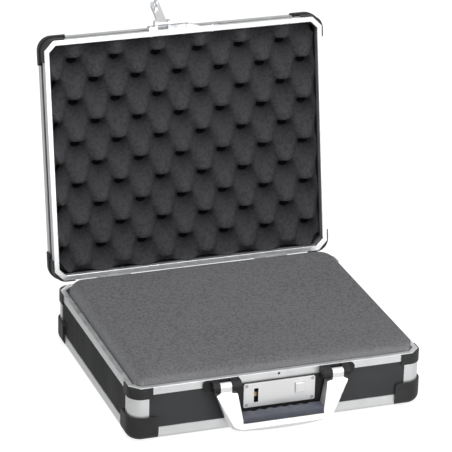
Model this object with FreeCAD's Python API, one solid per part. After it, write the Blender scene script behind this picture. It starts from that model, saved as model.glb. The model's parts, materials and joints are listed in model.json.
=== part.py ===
import FreeCAD, Part
import math
import os

# Aluminium-framed carry case with foam lining, for miniatures.
# Millimetres. +X right, +Y to the back, +Z up, origin on the ground under the centre of the base.
# The lid is built closed and then turned open about the hinge axis, which is how it is shown.

V = FreeCAD.Vector

# --- whole case ---
WIDTH = 330.0                 # over the rims, left to right
DEPTH = 276.0                 # over the rims, front to back
HALF_W = WIDTH / 2
HALF_D = DEPTH / 2
CORNER_R = 14.0               # outside radius of the corner posts, and of the plan of the case
CORNER_CUT = 11.0             # the rim turns each corner with a 45 degree cut of this leg
RIM_Z = 62.0                  # height of the base's mating face
LID_GAP = 0.2                 # daylight between the two lips when shut
OPEN_ANGLE = 99.7             # how far the lid opens, degrees
HINGE_Y = HALF_D + 4.5        # hinge axis, behind the rear face
HINGE_Z = RIM_Z - 2.8         # and a little below the mating face

# --- tray construction, shared by base and lid ---
SKIN = 1.0                    # aluminium wall
BOARD = 4.0                   # laminated board
LIP = SKIN + BOARD + SKIN     # width of the mating face
RIM_FACE = 8.7                # height of the rim's outer face
RIM_EASE = 0.5                # broken edges of the mating face
BASE_H = 61.0                 # lip to the underside of the edge profile
LID_H = 30.0
SEAT = 4.0                    # the walls stop this far short of the profile's face
EDGE_FACE = 13.4              # height of the edge profile's outer leg
EDGE_FLANGE = 14.0            # width of its lower leg
EDGE_R = 4.0                  # its rounded outer corner
POST_LEG = 20.0               # how far a corner post wraps along each wall
POST_SHORT = 5.5              # post ends this far above the profile's face
CAP_PROUD = 2.5               # corner cap stands out of the rim face
CAP_FOOT = 1.0                # and below the edge profile: this is what it stands on
CAP_ARM = 30.0                # cap length along each edge
CAP_R = 10.0                  # ball rounding of its lower edges
CAP_END_R = 4.0               # rounded ends of its arms
BASE_CAP_H = 28.0
LID_CAP_H = 16.0
BAND_THICK = 1.2              # plastic band round each rim corner
BAND_ARM = 24.0
BAND_TOP = 0.4
BAND_BOTTOM = 12.8

# --- foam ---
FOAM_GAP = 1.4                # foam to the inside of the rim
FOAM_R = 12.0
FOAM_PROUD = 5.0              # block stands above the mating face
FOAM_EASE = 4.0               # soft top edges
PAD_THICK = 5.0
LAYER_GAP = 0.05
CRATE_RECESS = 5.8            # egg-crate peaks below the lid's lip
CRATE_CORNER = 14.0           # corners cut off at 45 degrees

# --- lock on the front of the base ---
PLATE_W = 81.2
PLATE_Z0 = 24.6
PLATE_Z1 = 52.6
PLATE_THICK = 1.1
PLATE_R = 2.0
HOUSING_HALF_LOW = 60.0       # lower part, behind the handle's legs
HOUSING_HALF_HIGH = 45.4      # upper part, between the handle brackets
HOUSING_Z0 = 22.4
HOUSING_STEP_Z = 48.7
HOUSING_Z1 = 53.2
HOUSING_FRONT = 2.4           # stands out of the rim face by this much
POCKET_HALF = 39.6            # hollow for the latch work
POCKET_Z0 = 29.4
POCKET_Z1 = 48.2
POCKET_FLOOR = -4.2
CUTOUT_HALF = 42.0            # hole in the front wall
CUTOUT_Z0 = 27.4
CUTOUT_Z1 = 50.2
SCREW_X = 37.4
SCREW_Z = (27.5, 49.9)
SCREW_HEAD_R = 1.9
SCREW_SHANK_R = 0.9
SCREW_END = -0.8              # how deep the shank goes: it stays in the housing's flange
SLOT_X = -26.5                # slot the hasp's tongue enters
SLOT_W = 5.0
SLOT_Z0 = 30.0
SLOT_Z1 = 46.4
BUTTON_X = 23.0
BUTTON_Z = 41.4
BUTTON_W = 10.6
BUTTON_H = 11.4
BUTTON_OUT = 2.0              # stands out of the plate
BUTTON_GAP = 0.6              # round it in the plate's window
BUTTON_TRAVEL = 1.8
SLIDER_RATIO = 1.5            # slider travel for each unit of button travel
SLIDER_Z0 = 35.0
SLIDER_Z1 = 40.0
SLIDER_BACK = -2.6
SLIDER_FRONT = -1.0
TONGUE_TIP_X = -27.0
SPRING_FOLDS = 3
RUNNING = 0.05                # radial clearance of a pin that turns

# --- carrying handle ---
PIVOT_OUT = 8.0               # handle axis, out of the rim face
PIVOT_Z = 56.3
PIN_R = 2.0
BRACKET_X0 = 46.0
BRACKET_X1 = 86.0
BRACKET_Z0 = 49.0
BRACKET_Z1 = 61.6
BRACKET_BASE = 2.4
EAR_OUTER = (70.2, 77.5)
EAR_INNER = (46.0, 56.6)
EAR_R = 5.3
ARM_X0 = 57.2
ARM_X1 = 69.6
EYE_R = 4.4                   # rounded top of the arm, round the pin
BRACKET_SCREWS = [(51.3, 57.6), (81.5, 57.6)]
BOW_LOW = 1.0                 # underside of the bow at mid-width
BOW_BAND = 14.2               # top of the metal band, under the grip
GRIP_TOP = 23.6
GRIP_HALF = 45.8
BEVEL_POINTS = 8              # outline points from mid-bow to the knee
BEVEL_START = 14.0            # the facet begins this far out of the rim face
BEVEL_LEAN = 0.65             # and leans in by this much for each millimetre forwards
BEVEL_DEPTH = 10.0
BEVEL_REACH = 60.0            # the cut runs this far past each stretch of the outline

# --- hasp on the lid ---
HASP_X = -25.4
HASP_PIN_OUT = 7.6
HASP_PIN_UP = 4.3             # above the lid's lip
HASP_LENGTH = 33.0
HASP_FOLD = 146.0             # from latched to lying back
LIP_Z = RIM_Z + LID_GAP
HASP_PIN_Z = LIP_Z + HASP_PIN_UP
HASP_EAR_X = ((HASP_X - 9.2, HASP_X - 6.0), (HASP_X + 6.0, HASP_X + 9.2))
HASP_ARM_HALF = 5.2
HASP_PIN_R = 1.2
HASP_BARREL_R = 3.0
HASP_RIVET_X = (-39.0, 0.0, 34.0)

# --- hinges ---
HINGE_X = (-95.0, 95.0)
LEAF_W = 40.0
LEAF_THICK = 1.2
KNUCKLE_R = 3.6
HINGE_PIN_R = 1.8
KNUCKLE_MID = 15.0
KNUCKLE_PLAY = 0.3
RIVET_OFFSETS = (-14.0, 0.0, 14.0)
BASE_RIVET_Z = 45.0
LID_RIVET_T = 12.6


def box(x0, x1, y0, y1, z0, z1):
    return Part.makeBox(x1 - x0, y1 - y0, z1 - z0, V(x0, y0, z0))


def cyl_x(radius, x0, x1, y, z):
    return Part.makeCylinder(radius, x1 - x0, V(x0, y, z), V(1, 0, 0))


def cyl_y(radius, x, y0, y1, z):
    return Part.makeCylinder(radius, y1 - y0, V(x, y0, z), V(0, 1, 0))


def prism(points, direction):
    """Solid from a closed polygon swept along a vector."""
    wire = Part.makePolygon([V(*p) for p in points] + [V(*points[0])])
    return Part.Face(wire).extrude(V(*direction))


def mirrored_x(shape):
    return shape.mirror(V(0, 0, 0), V(1, 0, 0))


def mirrored_y(shape):
    return shape.mirror(V(0, 0, 0), V(0, 1, 0))


def rounded_slab(inset, radius, t0, t1):
    """Plan of the case shrunk by inset, with round corners, from height t0 to t1."""
    x = HALF_W - inset
    y = HALF_D - inset
    slab = box(-x, x, -y, y, t0, t1)
    upright = [e for e in slab.Edges if abs(e.tangentAt(e.FirstParameter).z) > 0.99]
    return slab.makeFillet(radius, upright)


def cut_slab(inset, t0, t1):
    """The same plan with its corners cut at 45 degrees, as the rim is mitred."""
    x = HALF_W - inset
    y = HALF_D - inset
    slab = box(-x, x, -y, y, t0, t1)
    upright = [e for e in slab.Edges if abs(e.tangentAt(e.FirstParameter).z) > 0.99]
    return slab.makeChamfer(CORNER_CUT - inset * (2 - math.sqrt(2)), upright)


def four_corners(shape):
    """The piece at (+X, +Y) repeated at all four corners."""
    pair = [shape, mirrored_x(shape)]
    return Part.makeCompound(pair + [mirrored_y(s) for s in pair])


def edges_at(shape, test):
    return [e for e in shape.Edges if test(e)]


# ---------------------------------------------------------------------------
# Tray pieces, in a local frame: t (along +Z) grows from the lip to the outside.
# ---------------------------------------------------------------------------

def rim_frame():
    """U-shaped channel that caps the walls, mitred across the four corners."""
    ring = cut_slab(0, 0, RIM_FACE).cut(cut_slab(LIP, -1, RIM_FACE + 1))
    lip_edges = edges_at(ring, lambda e: abs(e.BoundBox.ZMax) < 1e-6)
    ring = ring.makeChamfer(RIM_EASE, lip_edges)
    groove = cut_slab(SKIN, SKIN, RIM_FACE + 1).cut(cut_slab(LIP - SKIN, SKIN - 1, RIM_FACE + 2))
    return ring.cut(groove)


def long_wall(height, side):
    """Front (side = -1) or rear (side = +1) board."""
    x = HALF_W - CORNER_R
    y = side * (HALF_D - SKIN - BOARD / 2)
    return box(-x, x, y - BOARD / 2, y + BOARD / 2, SKIN, height - SEAT)


def short_wall(height, side):
    """Left (side = -1) or right (side = +1) board."""
    y = HALF_D - CORNER_R
    x = side * (HALF_W - SKIN - BOARD / 2)
    return box(x - BOARD / 2, x + BOARD / 2, -y, y, SKIN, height - SEAT)


def outer_panel(height):
    """The large board that closes the tray."""
    inset = SKIN + BOARD
    return rounded_slab(inset, CORNER_R - inset, height - SKIN - BOARD, height - SKIN)


def edge_section(height):
    """Rounded angle section seen along its length: (distance from the case's middle, t)."""
    return [
        (0, height - EDGE_FACE), (SKIN, height - EDGE_FACE), (SKIN, height - SEAT),
        (SKIN + BOARD, height - SEAT), (SKIN + BOARD, height - SKIN),
        (EDGE_FLANGE, height - SKIN), (EDGE_FLANGE, height), (0, height),
    ]


def edge_profile(height, along_x, side):
    """Edge extrusion between two corner caps."""
    if along_x:
        half = HALF_W - CAP_ARM
        points = [(-half, HALF_D - d, t) for d, t in edge_section(height)]
        bar = prism(points, (2 * half, 0, 0))
        corner = edges_at(bar, lambda e: e.BoundBox.YMin > HALF_D - 1e-3
                          and e.BoundBox.ZMin > height - 1e-3)
    else:
        half = HALF_D - CAP_ARM
        points = [(HALF_W - d, -half, t) for d, t in edge_section(height)]
        bar = prism(points, (0, 2 * half, 0))
        corner = edges_at(bar, lambda e: e.BoundBox.XMin > HALF_W - 1e-3
                          and e.BoundBox.ZMin > height - 1e-3)
    bar = bar.makeFillet(EDGE_R, corner)
    if side > 0:
        return bar
    return mirrored_y(bar) if along_x else mirrored_x(bar)


def corner_post(height):
    """Upright corner extrusion: a web in line with the boards and a rounded outer skin over them."""
    cx = HALF_W - CORNER_R
    cy = HALF_D - CORNER_R
    end = height - POST_SHORT
    web = cut_slab(SKIN, SKIN, end).cut(cut_slab(LIP - SKIN, 0, end + 1)).common(
        box(cx, HALF_W, cy, HALF_D, SKIN, end))
    tube = Part.makeCylinder(CORNER_R, end - RIM_FACE, V(cx, cy, RIM_FACE)).cut(
        Part.makeCylinder(CORNER_R - SKIN, end, V(cx, cy, 0)))
    skin = tube.common(box(cx, HALF_W + 1, cy, HALF_D + 1, RIM_FACE, end))
    leg_x = box(HALF_W - POST_LEG, cx, HALF_D - SKIN, HALF_D, RIM_FACE, end)
    leg_y = box(HALF_W - SKIN, HALF_W, HALF_D - POST_LEG, cy, RIM_FACE, end)
    return web.fuse([skin, leg_x, leg_y]).removeSplitter()


def rounded_strip(u0, t0, t1, radius, along_x):
    """Half-infinite strip from u0 outwards whose inner corner at t0 is rounded."""
    far = 200.0
    if along_x:
        strip = box(u0, far, 0, far, t0, t1)
        corner = edges_at(strip, lambda e: abs(e.BoundBox.XMax - u0) < 1e-3
                          and abs(e.BoundBox.ZMax - t0) < 1e-3)
    else:
        strip = box(0, far, u0, far, t0, t1)
        corner = edges_at(strip, lambda e: abs(e.BoundBox.YMax - u0) < 1e-3
                          and abs(e.BoundBox.ZMax - t0) < 1e-3)
    return strip.makeFillet(radius, corner)


def corner_cap(height, cap_h, tray):
    """Ball corner: rounded shell over the post, the wall ends and the outer panel's corner."""
    far_t = height + CAP_FOOT
    blank = rounded_slab(-CAP_PROUD, CORNER_R + CAP_PROUD, 0, far_t)
    lower = edges_at(blank, lambda e: e.BoundBox.ZMin > far_t - 1e-3)
    blank = blank.makeFillet(CAP_R, lower)
    top = far_t - cap_h
    zone = rounded_strip(HALF_W - CAP_ARM, top, far_t + 1, CAP_END_R, True).common(
        rounded_strip(HALF_D - CAP_ARM, top, far_t + 1, CAP_END_R, False))
    inside = rounded_slab(SKIN + BOARD, CORNER_R - SKIN - BOARD, -1, height - SKIN)
    cap = blank.common(zone).cut(inside)
    for piece in tray:
        cap = cap.cut(piece)
    return cap


def rim_band():
    """Moulded band clipped round one rim corner: it fills the mitre out to a round corner."""
    shell = rounded_slab(-BAND_THICK, CORNER_R + BAND_THICK, BAND_TOP, BAND_BOTTOM)
    shell = shell.cut(cut_slab(0, 0, RIM_FACE)).cut(
        rounded_slab(0, CORNER_R, RIM_FACE, BAND_BOTTOM + 1))
    return shell.common(box(HALF_W - BAND_ARM, HALF_W + 5, HALF_D - BAND_ARM, HALF_D + 5,
                            0, BAND_BOTTOM + 1))


def tray(prefix, height, cap_h):
    """All boards, extrusions and corner pieces of one half of the case."""
    parts = {}
    parts[prefix + "front_panel"] = long_wall(height, -1)
    parts[prefix + "rear_panel"] = long_wall(height, 1)
    parts[prefix + "left_panel"] = short_wall(height, -1)
    parts[prefix + "right_panel"] = short_wall(height, 1)
    parts[prefix + "rim_frame"] = rim_frame()
    parts[prefix + "edge_front"] = edge_profile(height, True, -1)
    parts[prefix + "edge_rear"] = edge_profile(height, True, 1)
    parts[prefix + "edge_left"] = edge_profile(height, False, -1)
    parts[prefix + "edge_right"] = edge_profile(height, False, 1)
    post = corner_post(height)
    parts[prefix + "corner_posts"] = four_corners(post)
    neighbours = [post, long_wall(height, 1), short_wall(height, 1)]
    parts[prefix + "ball_corners"] = four_corners(corner_cap(height, cap_h, neighbours))
    parts[prefix + "rim_corner_bands"] = four_corners(rim_band())
    return parts


def to_base(shape):
    """Local tray frame to the base: the lip faces up at RIM_Z."""
    flipped = shape.mirror(V(0, 0, 0), V(0, 0, 1))
    flipped.translate(V(0, 0, RIM_Z))
    return flipped


def to_closed_lid(shape):
    moved = shape.copy()
    moved.translate(V(0, 0, RIM_Z + LID_GAP))
    return moved


def opened(shape):
    """Closed lid position to the open rest position."""
    turned = shape.copy()
    turned.rotate(V(0, HINGE_Y, HINGE_Z), V(1, 0, 0), -OPEN_ANGLE)
    return turned


# ---------------------------------------------------------------------------
# Foam
# ---------------------------------------------------------------------------

def foam_pad():
    inset = LIP + FOAM_GAP
    floor = RIM_Z - BASE_H + SKIN + BOARD
    return rounded_slab(inset, FOAM_R, floor + LAYER_GAP, floor + PAD_THICK)


def foam_block():
    inset = LIP + FOAM_GAP
    floor = RIM_Z - BASE_H + SKIN + BOARD + PAD_THICK
    top = RIM_Z + FOAM_PROUD
    block = rounded_slab(inset, FOAM_R, floor + LAYER_GAP, top)
    upper = edges_at(block, lambda e: e.BoundBox.ZMin > top - 1e-3)
    return block.makeFillet(FOAM_EASE, upper)


def egg_crate_foam():
    """Envelope of the convoluted sheet in the lid (local tray frame)."""
    x = HALF_W - LIP - FOAM_GAP
    y = HALF_D - LIP - FOAM_GAP
    sheet = box(-x, x, -y, y, CRATE_RECESS, LID_H - SKIN - BOARD - LAYER_GAP)
    upright = [e for e in sheet.Edges if abs(e.tangentAt(e.FirstParameter).z) > 0.99]
    return sheet.makeChamfer(CRATE_CORNER, upright)


# ---------------------------------------------------------------------------
# Lock. "out" is the distance in front of the rim face, so y = -HALF_D - out.
# ---------------------------------------------------------------------------

def front(out):
    return -HALF_D - out


def front_box(x0, x1, out0, out1, z0, z1):
    return box(x0, x1, front(out1), front(out0), z0, z1)


def lock_screw_points():
    return [(x, z) for x in (-SCREW_X, SCREW_X) for z in SCREW_Z]


def lock_housing():
    """Black moulding behind plate and handle legs, with the pocket for the latch work."""
    low = front_box(-HOUSING_HALF_LOW, HOUSING_HALF_LOW, -SKIN, HOUSING_FRONT,
                    HOUSING_Z0, HOUSING_STEP_Z)
    high = front_box(-HOUSING_HALF_HIGH, HOUSING_HALF_HIGH, -SKIN, HOUSING_FRONT,
                     HOUSING_STEP_Z, HOUSING_Z1)
    body = front_box(-CUTOUT_HALF, CUTOUT_HALF, -SKIN - BOARD, -SKIN, CUTOUT_Z0, CUTOUT_Z1)
    housing = low.fuse([high, body]).removeSplitter()
    pocket = front_box(-POCKET_HALF, POCKET_HALF, POCKET_FLOOR, HOUSING_FRONT + 1,
                       POCKET_Z0, POCKET_Z1)
    housing = housing.cut(pocket)
    for x, z in lock_screw_points():
        housing = housing.cut(cyl_y(SCREW_SHANK_R, x, front(HOUSING_FRONT + 1), front(SCREW_END), z))
    return housing


def lock_plate():
    """Front plate with the hasp slot, the button window and four countersunk corners."""
    out0 = HOUSING_FRONT
    out1 = HOUSING_FRONT + PLATE_THICK
    plate = front_box(-PLATE_W / 2, PLATE_W / 2, out0, out1, PLATE_Z0, PLATE_Z1)
    corners = edges_at(plate, lambda e: abs(e.tangentAt(e.FirstParameter).y) > 0.99)
    plate = plate.makeFillet(PLATE_R, corners)
    rim = edges_at(plate, lambda e: e.BoundBox.YMax < front(out1) + 1e-3)
    plate = plate.makeChamfer(0.35, rim)
    slot = front_box(SLOT_X - SLOT_W / 2, SLOT_X + SLOT_W / 2, 0, out1 + 1, SLOT_Z0, SLOT_Z1)
    half_w = BUTTON_W / 2 + BUTTON_GAP
    half_h = BUTTON_H / 2 + BUTTON_GAP
    window = front_box(BUTTON_X - half_w, BUTTON_X + half_w, 0, out1 + 1,
                       BUTTON_Z - half_h, BUTTON_Z + half_h)
    plate = plate.cut(slot).cut(window)
    for x, z in lock_screw_points():
        plate = plate.cut(cyl_y(SCREW_SHANK_R, x, front(out1 + 1), front(0), z))
        plate = plate.cut(cyl_y(SCREW_HEAD_R, x, front(out1 + 1), front(out0 + 0.3), z))
    return plate


def lock_screws():
    screws = []
    for x, z in lock_screw_points():
        head = cyl_y(SCREW_HEAD_R, x, front(HOUSING_FRONT + 0.9), front(HOUSING_FRONT + 0.3), z)
        shank = cyl_y(SCREW_SHANK_R, x, front(HOUSING_FRONT + 0.3), front(SCREW_END), z)
        cross = [front_box(x - 1.2, x + 1.2, HOUSING_FRONT + 0.6, HOUSING_FRONT + 2,
                           z - 0.22, z + 0.22),
                 front_box(x - 0.22, x + 0.22, HOUSING_FRONT + 0.6, HOUSING_FRONT + 2,
                           z - 1.2, z + 1.2)]
        screws.append(head.fuse(shank).cut(cross[0]).cut(cross[1]))
    return Part.makeCompound(screws)


def lock_button():
    """Square push button with a retaining flange and a wedge that drives the slider."""
    face = HOUSING_FRONT + PLATE_THICK + BUTTON_OUT
    cap = front_box(BUTTON_X - BUTTON_W / 2, BUTTON_X + BUTTON_W / 2, HOUSING_FRONT - 1.0, face,
                    BUTTON_Z - BUTTON_H / 2, BUTTON_Z + BUTTON_H / 2)
    rim = edges_at(cap, lambda e: e.BoundBox.YMax < front(face) + 1e-3)
    cap = cap.makeFillet(0.7, rim)
    flange = front_box(BUTTON_X - BUTTON_W / 2 - 1.1, BUTTON_X + BUTTON_W / 2 + 1.1,
                       HOUSING_FRONT - 1.0, HOUSING_FRONT - 0.1,
                       BUTTON_Z - BUTTON_H / 2 - 0.8, BUTTON_Z + BUTTON_H / 2 + 0.8)
    # Wedge: its sloping right face moves SLIDER_RATIO sideways for each unit of depth.
    back = -1.9
    top = HOUSING_FRONT - 1.0
    right = BUTTON_X + 3.5
    run = (top - back) * SLIDER_RATIO
    wedge = prism([(BUTTON_X - 4.0, front(top), SLIDER_Z0 + 0.8),
                   (right, front(top), SLIDER_Z0 + 0.8),
                   (right - run, front(back), SLIDER_Z0 + 0.8),
                   (BUTTON_X - 4.0, front(back), SLIDER_Z0 + 0.8)],
                  (0, 0, SLIDER_Z1 - SLIDER_Z0 - 1.6))
    return cap.fuse([flange, wedge]).removeSplitter()


def latch_slider():
    """Flat bar: its tip shows in the slot and locks the hasp, its window rides on the wedge."""
    bar = front_box(TONGUE_TIP_X, BUTTON_X + 12.0, SLIDER_BACK, SLIDER_FRONT,
                    SLIDER_Z0, SLIDER_Z1)
    top = HOUSING_FRONT - 1.0
    right = BUTTON_X + 3.5 + 0.15
    # Where the wedge's slope would be at the front and back faces of the bar.
    at_front = right - (top - SLIDER_FRONT) * SLIDER_RATIO
    at_back = right - (top - SLIDER_BACK) * SLIDER_RATIO
    window = prism([(BUTTON_X - 7.5, front(SLIDER_FRONT), SLIDER_Z0 + 0.6),
                    (at_front, front(SLIDER_FRONT), SLIDER_Z0 + 0.6),
                    (at_back, front(SLIDER_BACK), SLIDER_Z0 + 0.6),
                    (BUTTON_X - 7.5, front(SLIDER_BACK), SLIDER_Z0 + 0.6)],
                   (0, 0, SLIDER_Z1 - SLIDER_Z0 - 1.2))
    return bar.cut(window)


def button_spring():
    """Folded leaf spring between the button's flange and the pocket floor."""
    half_strip = 0.15
    floor_out = POCKET_FLOOR + half_strip + 0.05
    flange_out = HOUSING_FRONT - 1.0 - half_strip - 0.05
    rise = (flange_out - floor_out) / SPRING_FOLDS
    left = BUTTON_X - 2.4
    right = BUTTON_X + 2.4
    strips = []
    for i in range(SPRING_FOLDS):
        x0, x1 = (left, right) if i % 2 == 0 else (right, left)
        low = floor_out + i * rise
        high = low + rise
        z0 = SLIDER_Z1 + 2.0
        strips.append(prism([(x0, front(low - half_strip), z0), (x1, front(high - half_strip), z0),
                             (x1, front(high + half_strip), z0), (x0, front(low + half_strip), z0)],
                            (0, 0, 3.6)))
    return strips[0].fuse(strips[1:]).removeSplitter()


def rim_screw():
    """Small dark countersunk screw in the rim above the lock."""
    head = cyl_y(1.5, 0, front(0.0), front(-0.7), RIM_Z - 3.0)
    shank = cyl_y(0.9, 0, front(-0.7), front(-SKIN - BOARD), RIM_Z - 3.0)
    slot = front_box(-1.1, 1.1, -0.35, 1.0, RIM_Z - 3.2, RIM_Z - 2.8)
    return head.fuse(shank).cut(slot)


def rim_screw_hole():
    return cyl_y(1.5, 0, front(1.0), front(-0.7), RIM_Z - 3.0).fuse(
        cyl_y(0.9, 0, front(-0.7), front(-SKIN - BOARD), RIM_Z - 3.0))


# ---------------------------------------------------------------------------
# Carrying handle, right-hand side; the left is its mirror image
# ---------------------------------------------------------------------------

def bracket():
    """Moulded bracket on the rim face with two ears for the handle pin."""
    base = front_box(BRACKET_X0, BRACKET_X1, 0, BRACKET_BASE, BRACKET_Z0, BRACKET_Z1)
    ends = edges_at(base, lambda e: abs(e.tangentAt(e.FirstParameter).y) > 0.99
                    and e.BoundBox.XMin > BRACKET_X1 - 1e-3)
    base = base.makeFillet(5.0, ends)
    heel = front_box(BRACKET_X0, BRACKET_X1 - 5.5, -SKIN, 0, BRACKET_Z0, RIM_Z - RIM_FACE)
    ears = []
    for x0, x1 in (EAR_INNER, EAR_OUTER):
        boss = cyl_x(EAR_R, x0, x1, front(PIVOT_OUT), PIVOT_Z)
        root = front_box(x0, x1, BRACKET_BASE, PIVOT_OUT, PIVOT_Z - EAR_R, PIVOT_Z + EAR_R)
        ears.append(boss.fuse(root))
    body = base.fuse([heel] + ears).removeSplitter()
    body = body.cut(cyl_x(PIN_R, BRACKET_X0 - 1, EAR_OUTER[1] + 1, front(PIVOT_OUT), PIVOT_Z))
    for x, z in BRACKET_SCREWS:
        body = body.cut(cyl_y(1.2, x, front(2.0), front(-1.0), z))
    return body


def bracket_screw(x, z):
    """Pan-head screw driven from inside the case into the bracket."""
    head_y = front(-LIP)
    head = cyl_y(2.4, x, head_y, head_y + 0.9, z)
    shank = cyl_y(1.2, x, front(2.0), head_y, z)
    return head.fuse(shank)


def handle_pin():
    return cyl_x(PIN_R, EAR_INNER[0] + 0.5, EAR_OUTER[1], front(PIVOT_OUT), PIVOT_Z)


def handle_outline():
    """Right half of the frame seen from the front, as (x, z), from the middle outwards and back."""
    return [(0, BOW_LOW), (22, BOW_LOW + 0.5), (40, BOW_LOW + 1.9), (50, BOW_LOW + 3.6),
            (56, BOW_LOW + 6.2), (60, BOW_LOW + 10.5), (62.5, BOW_LOW + 16), (74.2, 48.2),
            (69.6, 50.6), (ARM_X1, PIVOT_Z + EYE_R), (ARM_X0, PIVOT_Z + EYE_R),
            (ARM_X0, 49.6), (51.0, 48.4), (GRIP_HALF, BOW_BAND + 4),
            (GRIP_HALF, BOW_BAND), (0, BOW_BAND)]


def handle_side_profile():
    """Side view of the frame as (out, z): it swells towards the bow."""
    back = PIVOT_OUT - EYE_R
    face = PIVOT_OUT + EYE_R
    return [(back, PIVOT_Z + EYE_R), (back, PIVOT_Z - 4.0), (4.6, 47.5), (4.6, 30.0),
            (4.2, 16.0), (5.4, 0.5), (19.4, 0.5), (20.8, 8.0), (19.4, 15.0), (14.4, 44.0),
            (13.4, 48.2), (12.6, 51.0), (face, PIVOT_Z + EYE_R)]


def half_frame():
    outline = prism([(x, front(25), z) for x, z in handle_outline()], (0, 25, 0))
    side = prism([(-1, front(o), z) for o, z in handle_side_profile()], (100, 0, 0))
    leg = outline.common(side)
    eye = edges_at(leg, lambda e: abs(e.tangentAt(e.FirstParameter).x) > 0.99
                   and e.BoundBox.ZMin > PIVOT_Z + EYE_R - 0.1)
    return leg.makeFillet(EYE_R - 0.05, eye)


def outer_bevel(frame):
    """Facet along the outer front edge: it widens from the knees round the bow."""
    outer = handle_outline()[:BEVEL_POINTS]
    for (x0, z0), (x1, z1) in zip(outer, outer[1:]):
        length = math.hypot(x1 - x0, z1 - z0)
        along = V(x1 - x0, 0, z1 - z0) / length
        away = V(along.z, 0, -along.x)
        start = V(x0, front(BEVEL_START), z0) - along * BEVEL_REACH
        section = [(0, 0), (BEVEL_REACH, 0), (BEVEL_REACH, BEVEL_DEPTH),
                   (-BEVEL_LEAN * BEVEL_DEPTH, BEVEL_DEPTH)]
        corners = [start + away * side + V(0, -1, 0) * ahead for side, ahead in section]
        wedge = prism([tuple(c) for c in corners], tuple(along * (2 * BEVEL_REACH + length)))
        frame = frame.cut(wedge).cut(mirrored_x(wedge))
    return frame.removeSplitter()


def handle_frame():
    """Bright U-shaped frame: two flared legs and the bow, bored for the pins."""
    half = half_frame()
    frame = outer_bevel(half.fuse(mirrored_x(half)).removeSplitter())
    for x0, x1 in ((ARM_X0, ARM_X1), (-ARM_X1, -ARM_X0)):
        frame = frame.cut(cyl_x(PIN_R + RUNNING, x0 - 1, x1 + 1, front(PIVOT_OUT), PIVOT_Z))
    return frame


def handle_grip():
    """Soft insert that fills the bow on the finger side."""
    out0 = 4.0
    out1 = 19.2
    grip = front_box(-GRIP_HALF + 0.05, GRIP_HALF - 0.05, out0, out1, BOW_BAND + 0.02, GRIP_TOP)
    long_top = edges_at(grip, lambda e: abs(e.tangentAt(e.FirstParameter).x) > 0.99
                        and e.BoundBox.ZMin > GRIP_TOP - 1e-3)
    return grip.makeFillet(4.5, long_top)


# ---------------------------------------------------------------------------
# Hasp, built on the closed lid
# ---------------------------------------------------------------------------

def hasp_plate():
    """Plated counter-plate on the lid's rim: raised to the left, sloping away to the right."""
    z0 = LIP_Z + 0.5
    z1 = LIP_Z + RIM_FACE - 0.3
    outline = [(-42.0, 0.0), (-42.0, 4.2), (-41.0, 5.2), (HASP_X - 5.9, 5.2),
               (HASP_X - 5.9, 1.2), (HASP_X + 5.9, 1.2), (HASP_X + 5.9, 5.2),
               (6.0, 5.2), (19.0, 1.2), (40.0, 1.2), (40.0, 0.0)]
    plate = prism([(x, front(o), z0) for x, o in outline], (0, 0, z1 - z0))
    ears = [cyl_x(z1 - HASP_PIN_Z, x0, x1, front(HASP_PIN_OUT), HASP_PIN_Z).fuse(
        front_box(x0, x1, 0, HASP_PIN_OUT, z0, z1)) for x0, x1 in HASP_EAR_X]
    plate = plate.fuse(ears).removeSplitter()
    plate = plate.cut(cyl_x(HASP_PIN_R, HASP_X - 9.3, HASP_X + 9.3, front(HASP_PIN_OUT), HASP_PIN_Z))
    for x in HASP_RIVET_X:
        plate = plate.cut(cyl_y(1.1, x, front(6.0), front(-1.0), LIP_Z + 4.5))
    return plate


def hasp_rivets():
    """Rivets through counter-plate, rim and board."""
    rivets = []
    for x, out in zip(HASP_RIVET_X, (5.2, 5.2, 1.2)):
        z = LIP_Z + 4.5
        head = cyl_y(1.8, x, front(out + 0.6), front(out), z)
        shank = cyl_y(1.1, x, front(out), front(-LIP), z)
        tail = cyl_y(1.9, x, front(-LIP), front(-LIP) + 0.7, z)
        rivets.append(head.fuse([shank, tail]))
    return Part.makeCompound(rivets)


def hasp_pin():
    return cyl_x(HASP_PIN_R, HASP_EAR_X[0][0], HASP_EAR_X[1][1], front(HASP_PIN_OUT), HASP_PIN_Z)


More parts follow.
